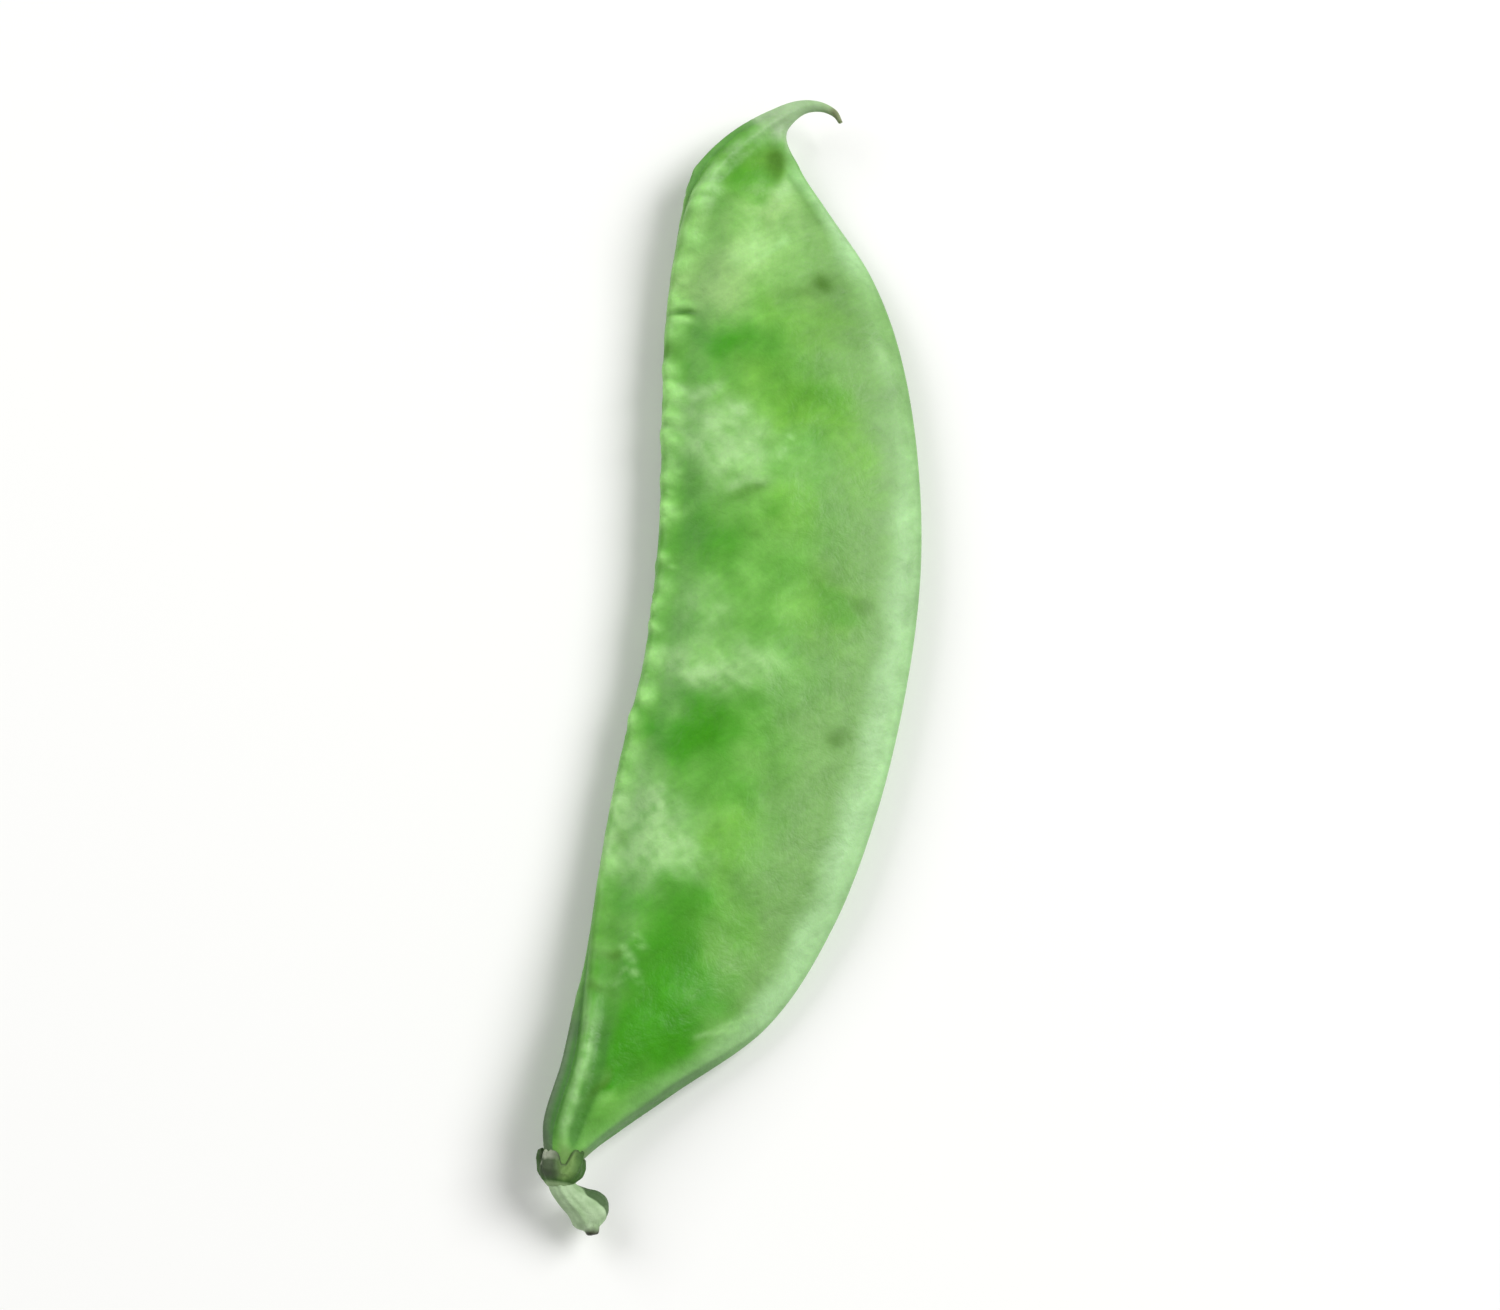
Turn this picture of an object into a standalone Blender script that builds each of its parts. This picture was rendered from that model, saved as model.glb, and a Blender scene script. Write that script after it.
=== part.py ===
"""A green hyacinth bean pod with its calyx and a stub of stalk, lying on one side.

Metres, +Z up. The pod lies along Y, with the stalk at -Y and the beak at +Y.
Its thick warty ventral seam faces -X and its thin dorsal seam faces +X.
The origin is under the middle of the whole, on the surface that it rests on.
"""

import math
import random

import bmesh
import bpy
from mathutils import Matrix, Vector

MM = 0.001

# The outline: where the ventral and the dorsal seam run, in mm, as pairs of
# points across the pod from the neck, over the body, to the tip of the beak.
SEAM_PAIRS = [
    ((-1.7, 0.0), (0.7, 0.0)),
    ((-2.4, 3.2), (2.7, 2.9)),
    ((-1.9, 9.0), (7.2, 7.8)),
    ((-1.9, 15.3), (13.7, 15.0)),
    ((-2.5, 24.0), (17.3, 24.0)),
    ((-2.8, 33.5), (19.0, 33.5)),
    ((-2.6, 44.0), (19.5, 44.0)),
    ((-3.6, 54.5), (18.9, 54.5)),
    ((-5.3, 64.0), (17.0, 64.0)),
    ((-6.9, 73.3), (13.8, 73.3)),
    ((-7.4, 81.0), (9.6, 80.8)),
    ((-6.8, 86.6), (4.6, 86.2)),
    ((-5.1, 89.8), (1.9, 89.0)),
    ((-2.9, 92.3), (0.9, 90.9)),
    ((-0.9, 94.0), (0.9, 92.2)),
    ((0.8, 94.9), (1.6, 93.4)),
    ((2.5, 95.1), (2.7, 93.9)),
    ((4.0, 94.6), (3.7, 93.8)),
    ((4.7, 93.7), (4.3, 93.4)),
]

# Half the thickness of the empty pod, in mm, at distances along its middle line
HALF_THICKNESS = [
    (0.0, 1.15),
    (3.5, 1.5),
    (10.0, 1.95),
    (20.0, 2.5),
    (32.0, 2.75),
    (64.0, 2.75),
    (76.0, 2.45),
    (85.0, 1.75),
    (91.0, 1.0),
    (95.0, 0.7),
    (98.0, 0.5),
    (100.5, 0.25),
]
VENTRAL_FULLNESS = 0.16  # a section is this much thicker near its ventral seam

# Seeds swell the valves: distance along the middle line and height, in mm
SEEDS = [(14.0, 0.16), (29.0, 0.55), (45.0, 0.58), (61.5, 0.58), (77.0, 0.42)]
SEED_REACH_ALONG = 4.6
SEED_REACH_ACROSS = 5.2
SEED_PLACE = 0.42  # share of the width, from the ventral seam
DIP_DEPTH = 0.14  # the valves sink between the seeds
DIP_REACH = 2.6

# The ventral band: two ridges with a groove between, and a furrow outside each.
# The spreads are shares of the angle from the seam to a ridge's crest.
RIDGE_FROM_SEAM = 1.25  # from the seam straight to the crest of a ridge, in mm
RIDGE_HEIGHT = 0.34
RIDGE_SPREAD = 0.45
GROOVE_DEPTH = 0.22
FURROW_DEPTH = 0.2
FURROW_PLACE = 1.8
FURROW_SPREAD = 0.5
WIDEST_CREST = math.radians(52.0)
BAND_START = (0.0, 4.5)  # the band rises over the first of these stretches
BAND_END = (88.0, 96.0)  # and fades over the second

# Warts stand along both ridges
WART_PITCH = 1.5
WART_STRAY = 0.28  # share of the pitch by which a wart may stray
WART_HEIGHT = (0.04, 0.36)
WART_SPREAD = 0.3
WART_SEED = 7

# The dorsal seam is a thin rim
DORSAL_RIM_HEIGHT = 0.3
DORSAL_RIM_SPREAD = 0.16  # radians

# Points round a section: rows on the band, in shares of the crest's angle, then
# evenly spread rows on the valve, then rows beside the dorsal rim, in radians
BAND_ROWS = (0.0, 0.55, 1.0, 1.5, 2.1)
VALVE_ROWS = 9
RIM_ROWS = (0.4, 0.17, 0.0)

# How the pod lies
TWIST_AT_NECK = math.radians(24.0)  # lifts the ventral seam at the stalk end
TWIST_REACH = 31.0
TWIST_AT_BEAK = math.radians(15.0)  # and a little at the beak, over this stretch
BEAK_TWIST = (76.0, 94.0)
NECK_LIFT = 1.5
BEAK_LIFT = 1.1
LIFT_REACH = 26.0
FLAT_SPOT_DEPTH = 0.3  # how far the lowest swellings are pressed flat

# The calyx cup: half its section, as distances in mm out from its axis and along
# it from the foot of the neck. It starts under the foot and ends inside the cup.
CALYX_SECTION = [
    (0.0, -1.3),
    (0.8, -1.3),
    (1.55, -0.95),
    (2.1, -0.4),
    (2.3, 0.3),
    (2.28, 0.9),
    (2.08, 0.9),
    (1.92, 0.3),
    (1.9, -0.3),
    (0.0, -0.3),
]
CALYX_SIDES = 30
CALYX_TILT = math.radians(4.0)  # towards the ventral side
TOOTH_COUNT = 5
TOOTH_LENGTH = 0.8
TOOTH_ROOT = 0.5  # the teeth are drawn out of this much of the rim
TOOTH_SHARPNESS = 1.0
TOOTH_FLARE = (0.14, 0.06)  # how far a tooth leans out, across and through the pod

# Stalk, in mm: points on its middle line in the calyx's frame, and its radius there
STALK = [
    ((0.00, -1.60, 0.00), 0.95),
    ((0.10, -2.10, 0.00), 0.94),
    ((0.68, -2.72, -0.15), 0.98),
    ((1.60, -3.15, -0.35), 1.22),
    ((2.60, -3.40, -0.55), 1.58),
    ((3.45, -3.65, -0.70), 1.36),
]
STALK_STEPS = 12


def spline(knots, where):
    """The smooth curve through knots [(distance, value)], as a Catmull-Rom curve."""
    places = [k[0] for k in knots]
    where = min(max(where, places[0]), places[-1])
    i = max(j for j in range(len(knots) - 1) if places[j] <= where)
    (x0, y0), (x1, y1) = knots[i], knots[i + 1]
    before = knots[max(i - 1, 0)]
    after = knots[min(i + 2, len(knots) - 1)]
    slope0 = (y1 - before[1]) / (x1 - before[0])
    slope1 = (after[1] - y0) / (after[0] - x0)
    span = x1 - x0
    t = (where - x0) / span
    return (
        (2 * t**3 - 3 * t**2 + 1) * y0
        + (t**3 - 2 * t**2 + t) * span * slope0
        + (3 * t**2 - 2 * t**3) * y1
        + (t**3 - t**2) * span * slope1
    )


def bump(distance, reach):
    """A smooth hump of height 1 that is spent a little past its reach."""
    return math.exp(-((distance / reach) ** 2))


def ease(low, high, value):
    """0 below low, 1 above high, and smooth between."""
    t = min(max((value - low) / (high - low), 0.0), 1.0)
    return t * t * (3 - 2 * t)


def seam_knots():
    """Both seams and the length of the middle line, as knots for spline()."""
    middles = [(Vector(v) + Vector(d)) / 2 for v, d in SEAM_PAIRS]
    along = [0.0]
    for a, b in zip(middles, middles[1:]):
        along.append(along[-1] + (b - a).length)
    seams = [
        [[(s, pair[side][axis]) for s, pair in zip(along, SEAM_PAIRS)] for axis in (0, 1)]
        for side in (0, 1)
    ]
    return seams, along[-1]


SEAMS, MIDDLE_LENGTH = seam_knots()


def wart_rings():
    """Distances of the rings of points, and the wart there on the upper and the lower ridge.

    Every other ring carries a wart of the upper ridge, and those between one of the lower.
    """
    draw = random.Random(WART_SEED)
    count = 2 * round(MIDDLE_LENGTH / WART_PITCH)
    rings, warts = [], []
    for i in range(count + 1):
        stray = draw.uniform(-WART_STRAY, WART_STRAY) if 0 < i < count else 0.0
        height = draw.uniform(*WART_HEIGHT)
        rings.append(MIDDLE_LENGTH * (i + stray) / count)
        warts.append((height, 0.0) if i % 2 else (0.0, height))
    return rings, warts


RINGS, WARTS = wart_rings()


def band_strength(along):
    """1 where the ventral ridges stand full, 0 on the beak and inside the calyx."""
    return ease(*BAND_START, along) * (1.0 - ease(*BAND_END, along))


def swelling(along, across, width):
    """How far the seeds push a valve out at a place, in mm."""
    aside = bump(across - SEED_PLACE * width, SEED_REACH_ACROSS)
    out = 0.0
    for place, height in SEEDS:
        out += height * bump(along - place, SEED_REACH_ALONG) * aside
    for (a, _), (b, _) in zip(SEEDS[1:], SEEDS[2:]):
        out -= DIP_DEPTH * bump(along - (a + b) / 2, DIP_REACH) * aside
    return out


def section_angles(half_thickness, width):
    """Angles of the points round a section, from the ventral seam, and of a ridge's crest."""
    thick, wide = half_thickness**2, (width / 2) ** 2
    reach = RIDGE_FROM_SEAM**2
    root = math.sqrt(max(thick**2 + (wide - thick) * reach, 0.0))
    cosine = max((wide + thick - reach) / (wide + root), math.cos(WIDEST_CREST))
    crest = math.acos(min(cosine, 1.0))
    band = [row * crest for row in BAND_ROWS]
    rim = [math.pi - row for row in RIM_ROWS]
    step = (rim[0] - band[-1]) / (VALVE_ROWS + 1)
    half = band + [band[-1] + step * (i + 1) for i in range(VALVE_ROWS)] + rim
    return half + [-a for a in reversed(half[1:-1])], crest


SIDES = len(section_angles(1.0, 2.0)[0])


def relief(ring, turned, side, crest):
    """How far ridges, groove, furrows, warts and rim stand out, in mm.

    turned is the angle from the ventral seam, and side is 1 on the upper valve, -1 below.
    """
    wart = WARTS[ring][0 if side > 0 else 1]
    out = RIDGE_HEIGHT * bump(turned - crest, RIDGE_SPREAD * crest)
    out += wart * bump(turned - crest, WART_SPREAD * crest)
    out -= GROOVE_DEPTH * bump(turned, RIDGE_SPREAD * crest)
    out -= FURROW_DEPTH * bump(turned - FURROW_PLACE * crest, FURROW_SPREAD * crest)
    out += DORSAL_RIM_HEIGHT * bump(math.pi - turned, DORSAL_RIM_SPREAD)
    return out * band_strength(RINGS[ring])


def section_point(ring, index):
    """The point of the skin at a ring and a place round it, in mm, pod frame."""
    along = RINGS[ring]
    ventral = Vector((spline(SEAMS[0][0], along), spline(SEAMS[0][1], along)))
    dorsal = Vector((spline(SEAMS[1][0], along), spline(SEAMS[1][1], along)))
    width = (dorsal - ventral).length
    across_way = (dorsal - ventral).normalized()
    half = spline(HALF_THICKNESS, along)
    angles, crest = section_angles(half, width)
    angle = angles[index]
    side = 1 if angle > 0 else -1

    across = width / 2 * (1 - math.cos(angle))
    height = half * math.sin(angle) * (1 + VENTRAL_FULLNESS * math.cos(angle))
    height += side * swelling(along, across, width) * abs(math.sin(angle))
    normal = Vector((-math.cos(angle) * half, math.sin(angle) * width / 2)).normalized()
    out = relief(ring, abs(angle), side, crest)
    across += out * normal.x
    height += out * normal.y

    twist = TWIST_AT_NECK * (1 - ease(0.0, TWIST_REACH, along)) + TWIST_AT_BEAK * ease(*BEAK_TWIST, along)
    from_middle = across - width / 2
    shift = width / 2 + from_middle * math.cos(twist) + height * math.sin(twist)
    flat = ventral + across_way * shift
    lift = NECK_LIFT * (1 - ease(0.0, LIFT_REACH, along))
    lift += BEAK_LIFT * ease(MIDDLE_LENGTH - LIFT_REACH, MIDDLE_LENGTH, along)
    up = height * math.cos(twist) - from_middle * math.sin(twist) + lift
    return Vector((flat.x, flat.y, up))


def ring_middle(ring):
    """The middle of a ring of skin points, in mm."""
    return sum((section_point(ring, i) for i in range(SIDES)), Vector()) / SIDES


def neck_frame():
    """Turns the calyx and stalk from their own axis, +Y, to the foot of the neck."""
    place = Matrix.Translation(ring_middle(0))
    tilt = Matrix.Rotation(CALYX_TILT, 4, "Z")
    return place @ tilt @ Matrix.Rotation(TWIST_AT_NECK, 4, "Y")


def material(name, colour, roughness):
    """A plain matt or satin material of one colour."""
    made = bpy.data.materials.new(name)
    made.use_nodes = True
    shader = made.node_tree.nodes["Principled BSDF"]
    shader.inputs["Base Color"].default_value = (*colour, 1.0)
    shader.inputs["Roughness"].default_value = roughness
    shader.inputs["Metallic"].default_value = 0.0
    return made


def finish(name, bm, colour, roughness):
    """Makes an object with its material from a bmesh in mm."""
    bmesh.ops.scale(bm, verts=bm.verts, vec=(MM, MM, MM))
    mesh = bpy.data.meshes.new(name)
    bm.to_mesh(mesh)
    bm.free()
    mesh.shade_smooth()
    mesh.set_sharp_from_angle(angle=math.radians(50))
    obj = bpy.data.objects.new(name, mesh)
    bpy.context.scene.collection.objects.link(obj)
    mesh.materials.append(material(name, colour, roughness))
    return obj


def make_pod():
    """The pod: a UV sphere whose rings of points become the pod's sections."""
    spans = len(RINGS) + 1
    last = len(RINGS) - 1
    bm = bmesh.new()
    bmesh.ops.create_uvsphere(bm, u_segments=SIDES, v_segments=spans, radius=1.0)
    for vert in bm.verts:
        latitude = math.acos(max(-1.0, min(1.0, -vert.co.z)))
        ring = round(latitude / math.pi * spans) - 1
        index = round(math.atan2(vert.co.y, vert.co.x) / math.tau * SIDES) % SIDES
        if 0 <= ring <= last:
            vert.co = section_point(ring, index)
        else:
            vert.co = ring_middle(min(max(ring, 0), last))
    bmesh.ops.recalc_face_normals(bm, faces=bm.faces)
    if bm.calc_volume(signed=True) < 0:
        bmesh.ops.reverse_faces(bm, faces=bm.faces)
    floor = min(vert.co.z for vert in bm.verts) + FLAT_SPOT_DEPTH
    for vert in bm.verts:
        vert.co.z = max(vert.co.z, floor)
    return finish("pod", bm, (0.17, 0.40, 0.07), 0.45)


def make_calyx():
    """The cup of sepals: a turned section whose rim is drawn out into teeth."""
    bm = bmesh.new()
    verts = [bm.verts.new((x, y, 0.0)) for x, y in CALYX_SECTION]
    edges = [bm.edges.new(pair) for pair in zip(verts, verts[1:])]
    bmesh.ops.spin(
        bm,
        geom=verts + edges,
        cent=(0.0, 0.0, 0.0),
        axis=(0.0, 1.0, 0.0),
        angle=math.tau,
        steps=CALYX_SIDES,
        use_merge=True,
        use_duplicate=False,
    )
    bmesh.ops.remove_doubles(bm, verts=bm.verts, dist=0.001)
    bmesh.ops.recalc_face_normals(bm, faces=bm.faces)
    rim = max(y for _, y in CALYX_SECTION)
    for vert in bm.verts:
        angle = math.atan2(vert.co.z, vert.co.x)
        tooth = (0.5 + 0.5 * math.cos(TOOTH_COUNT * angle)) ** TOOTH_SHARPNESS
        tooth *= ease(rim - TOOTH_ROOT, rim, vert.co.y)
        vert.co.y += TOOTH_LENGTH * tooth
        vert.co.x *= 1 + TOOTH_FLARE[0] * tooth
        vert.co.z *= 1 + TOOTH_FLARE[1] * tooth
    bmesh.ops.transform(bm, matrix=neck_frame(), verts=bm.verts)
    return finish("calyx", bm, (0.13, 0.20, 0.08), 0.6)


def make_stalk():
    """The stub of stalk: a swept tube that swells where it broke off."""
    curve = bpy.data.curves.new("pedicel", "CURVE")
    curve.dimensions = "3D"
    curve.bevel_depth = MM
    curve.bevel_resolution = 3
    curve.use_fill_caps = True
    line = curve.splines.new("POLY")
    line.points.add(STALK_STEPS)
    frame = neck_frame()
    knots = [[(i, value[axis]) for i, (value, _) in enumerate(STALK)] for axis in range(3)]
    radii = [(i, radius) for i, (_, radius) in enumerate(STALK)]
    for i, point in enumerate(line.points):
        where = i / STALK_STEPS * (len(STALK) - 1)
        place = frame @ Vector([spline(k, where) for k in knots])
        point.co = (*(place * MM), 1.0)
        point.radius = spline(radii, where)
    obj = bpy.data.objects.new("pedicel", curve)
    bpy.context.scene.collection.objects.link(obj)
    curve.materials.append(material("pedicel", (0.34, 0.50, 0.24), 0.55))
    return obj


def corners(objects):
    """Lowest and highest corner of these objects as evaluated, in metres."""
    graph = bpy.context.evaluated_depsgraph_get()
    points = []
    for obj in objects:
        evaluated = obj.evaluated_get(graph)
        mesh = evaluated.to_mesh()
        points += [obj.matrix_world @ vert.co for vert in mesh.vertices]
        evaluated.to_mesh_clear()
    low = Vector([min(p[axis] for p in points) for axis in range(3)])
    high = Vector([max(p[axis] for p in points) for axis in range(3)])
    return low, high


def main():
    for old in list(bpy.data.objects):
        bpy.data.objects.remove(old)
    pieces = [make_pod(), make_calyx(), make_stalk()]
    bpy.context.view_layer.update()
    low, high = corners(pieces)
    for piece in pieces:
        piece.location = (-(low.x + high.x) / 2, -(low.y + high.y) / 2, -low.z)


main()
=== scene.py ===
"""A green hyacinth bean pod lying on a pale floor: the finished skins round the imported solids.

Every function of shape works in millimetres, in the pod's own frame, as the solids were drawn:
the pod runs along +Y from its neck, the ventral seam is on the -X side, and +Z is up.
"""

import math
import random

import bmesh
import bpy
import numpy as np
from mathutils import Matrix, Vector


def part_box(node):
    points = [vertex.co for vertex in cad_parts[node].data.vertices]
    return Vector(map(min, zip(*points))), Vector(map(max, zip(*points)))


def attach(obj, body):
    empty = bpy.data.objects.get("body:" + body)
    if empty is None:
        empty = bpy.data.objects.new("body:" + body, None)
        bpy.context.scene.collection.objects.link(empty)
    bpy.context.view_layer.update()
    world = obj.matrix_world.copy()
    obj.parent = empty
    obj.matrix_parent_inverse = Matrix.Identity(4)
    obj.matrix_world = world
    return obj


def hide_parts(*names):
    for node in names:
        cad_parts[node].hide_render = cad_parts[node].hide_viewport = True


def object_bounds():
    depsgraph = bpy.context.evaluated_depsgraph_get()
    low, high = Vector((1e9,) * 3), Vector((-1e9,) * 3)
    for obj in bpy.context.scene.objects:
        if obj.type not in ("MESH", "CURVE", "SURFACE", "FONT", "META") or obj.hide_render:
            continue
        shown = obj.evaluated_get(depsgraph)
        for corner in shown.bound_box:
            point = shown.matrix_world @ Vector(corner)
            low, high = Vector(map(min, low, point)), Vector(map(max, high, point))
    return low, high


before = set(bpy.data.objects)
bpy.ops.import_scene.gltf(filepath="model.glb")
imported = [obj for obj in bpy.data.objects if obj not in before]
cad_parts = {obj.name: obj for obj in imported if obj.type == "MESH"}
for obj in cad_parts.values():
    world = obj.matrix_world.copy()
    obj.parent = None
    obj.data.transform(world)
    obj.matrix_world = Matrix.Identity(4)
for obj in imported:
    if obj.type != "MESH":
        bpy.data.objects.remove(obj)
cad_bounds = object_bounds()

MM = 0.001

# Irregular waves: how many are added up, how much their lengths vary, and a factor that
# keeps their sum mostly between -1 and 1
WAVE_COUNT = 14
WAVE_VARIETY = 0.35
WAVE_SCALE = 0.8

# The outline: where the ventral and the dorsal seam run, as pairs of points
# across the pod from the neck, over the body, to the tip of the beak.
SEAM_PAIRS = [
    ((-1.7, 0.0), (0.7, 0.0)),
    ((-2.4, 3.2), (2.7, 2.9)),
    ((-1.9, 9.0), (7.2, 7.8)),
    ((-1.9, 15.3), (13.7, 15.0)),
    ((-2.5, 24.0), (17.3, 24.0)),
    ((-2.8, 33.5), (19.0, 33.5)),
    ((-2.6, 44.0), (19.5, 44.0)),
    ((-3.6, 54.5), (18.9, 54.5)),
    ((-5.3, 64.0), (17.0, 64.0)),
    ((-6.9, 73.3), (13.8, 73.3)),
    ((-7.4, 81.0), (9.6, 80.8)),
    ((-6.8, 86.6), (4.6, 86.2)),
    ((-5.1, 89.8), (1.9, 89.0)),
    ((-2.9, 92.3), (0.9, 90.9)),
    ((-0.9, 94.0), (0.9, 92.2)),
    ((0.8, 94.9), (1.6, 93.4)),
    ((2.5, 95.1), (2.7, 93.9)),
    ((4.0, 94.6), (3.7, 93.8)),
    ((4.7, 93.7), (4.3, 93.4)),
]

# Half the thickness of the empty pod, at distances along its middle line
HALF_THICKNESS = [
    (0.0, 1.15),
    (3.5, 1.5),
    (10.0, 1.95),
    (20.0, 2.5),
    (32.0, 2.75),
    (64.0, 2.75),
    (76.0, 2.45),
    (85.0, 1.75),
    (91.0, 1.0),
    (95.0, 0.7),
    (98.0, 0.5),
    (100.5, 0.25),
]
VENTRAL_FULLNESS = 0.16  # a section is this much thicker near its ventral seam

# Seeds swell the valves: distance along the middle line, and height
SEEDS = [(14.0, 0.16), (29.0, 0.55), (45.0, 0.58), (61.5, 0.58), (77.0, 0.42)]
SEED_REACH_ALONG = 4.6
SEED_REACH_ACROSS = 5.2
SEED_PLACE = 0.42  # share of the width, from the ventral seam
DIP_DEPTH = 0.14  # the valves sink between the seeds
DIP_REACH = 2.6

# The ventral band: two ridges with a groove between, and a furrow outside each.
# The spreads are shares of the angle from the seam to a ridge's crest.
RIDGE_FROM_SEAM = 1.25  # from the seam straight to the crest of a ridge
RIDGE_HEIGHT = 0.34
RIDGE_SPREAD = 0.45
GROOVE_DEPTH = 0.22
FURROW_DEPTH = 0.2
FURROW_PLACE = 1.8
FURROW_SPREAD = 0.5
WIDEST_CREST = math.radians(52.0)
BAND_START = (0.0, 4.5)  # the band rises over the first of these stretches
BAND_END = (93.0, 99.0)  # and fades over the second, on the style
BAND_THIN = 1.3  # where half the pod is thinner than this, so are the ridges

# The seam's groove turns onto the upper side near both ends, by these mm, and
# the ridges stand closer there, at this share of their place elsewhere
SEAM_TURN = [
    (0.0, 1.1),
    (9.0, 1.1),
    (22.0, 0.0),
    (81.0, 0.0),
    (85.5, 0.35),
    (90.0, 1.1),
    (96.0, 0.9),
    (101.0, 0.3),
]
MOST_SEAM_TURN = 1.1  # in shares of the angle from the seam to a crest
RIDGES_CLOSE = 0.62

# Warts along both ridges: large ones, and small ones between them
WART_KINDS = [
    # pitch, least and most height, least and most radius, stray across the ridge
    (2.4, 0.12, 0.42, 0.50, 0.90, 0.30),
    (1.3, 0.02, 0.13, 0.22, 0.50, 0.80),
]
WART_STRAY = 0.42  # share of the pitch by which a wart may stray
WART_BREADTH = (0.7, 1.3)  # least and most, in shares of the wart's radius
WART_LEAN = 0.5  # mm along for each mm across, at most
WART_FULL_HIGHLIGHT = 0.25  # a wart this high has its top wholly under the painted highlight
WART_SEED = 7

# How much of the warts shows: distance along, and share
WARTY = [
    (8.0, 0.0),
    (20.0, 0.25),
    (34.0, 0.5),
    (41.0, 1.0),
    (52.0, 1.0),
    (56.0, 0.6),
    (62.0, 1.0),
    (69.0, 1.0),
    (74.0, 0.5),
    (80.0, 0.8),
    (86.0, 0.9),
    (92.0, 0.0),
]

# The row of warts wanders about the crest of its ridge, differently on each ridge
MEANDER = 0.2
MEANDER_LENGTH = 6.0
MEANDER_SEED = 11
RIDGES_APART = 3.0

# The dorsal seam: a bead on the edge, and a faint furrow where its cord meets the valve.
# A stretch is where along the pod a thing begins, and where it ends.
DORSAL_RIM_HEIGHT = 0.3
DORSAL_RIM_SPREAD = 0.16  # radians
CORD_WIDTH = 2.2
CORD_FURROW_DEPTH = 0.06
CORD_FURROW_REACH = 0.6
CORD_FURROW_STRETCH = ((8.0, 20.0), (84.0, 92.0))

# A short crease across the ventral band near the beak, with a raised lip on both sides
CREASE_ALONG = 75.9
CREASE_ACROSS = 1.6
CREASE_LEAN = 0.25  # mm along for each mm across
CREASE_CURVE = 0.18
CREASE_REACH_ALONG = 0.26
CREASE_REACH_ACROSS = 0.95
CREASE_DEPTH = 0.26
CREASE_LIP = 0.75  # from the crease to the lip's crest
CREASE_LIP_REACH = 0.364
CREASE_LIP_HEIGHT = 0.13

# The style is drawn out thinner than the solid's, over this stretch
STYLE_SLIM = 0.28
STYLE_SLIM_START = (92.5, 96.0)

# How the pod lies
TWIST_AT_NECK = math.radians(24.0)  # lifts the ventral seam at the stalk end
TWIST_REACH = 31.0
TWIST_AT_BEAK = math.radians(15.0)  # and a little at the beak, over this stretch
BEAK_TWIST = (76.0, 94.0)
NECK_LIFT = 1.5
BEAK_LIFT = 1.1
LIFT_REACH = 26.0
FLAT_SPOT_DEPTH = 0.3  # how far the lowest swellings are pressed flat

# Rings along the pod, and rows of points on half a section: on the band, on the
# valve and by the dorsal seam, with where the first ends and the last begins
RINGS = 600
BAND_ROWS, VALVE_ROWS, RIM_ROWS = 26, 38, 16
BAND_ROWS_REACH = 1.9  # in shares of the crest's angle
RIM_ROWS_REACH = 0.8  # radians

# Uneven growth of the valves: wavelength and height of each kind of wave
SWELLS = [(9.0, 0.060), (4.5, 0.035), (2.2, 0.014)]
SWELLS_STRETCH = ((0.0, 8.0), (88.0, 96.0))
SWELL_SEED = 21
VALVES_APART = 20.0  # in the waves, so that the two valves differ

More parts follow.
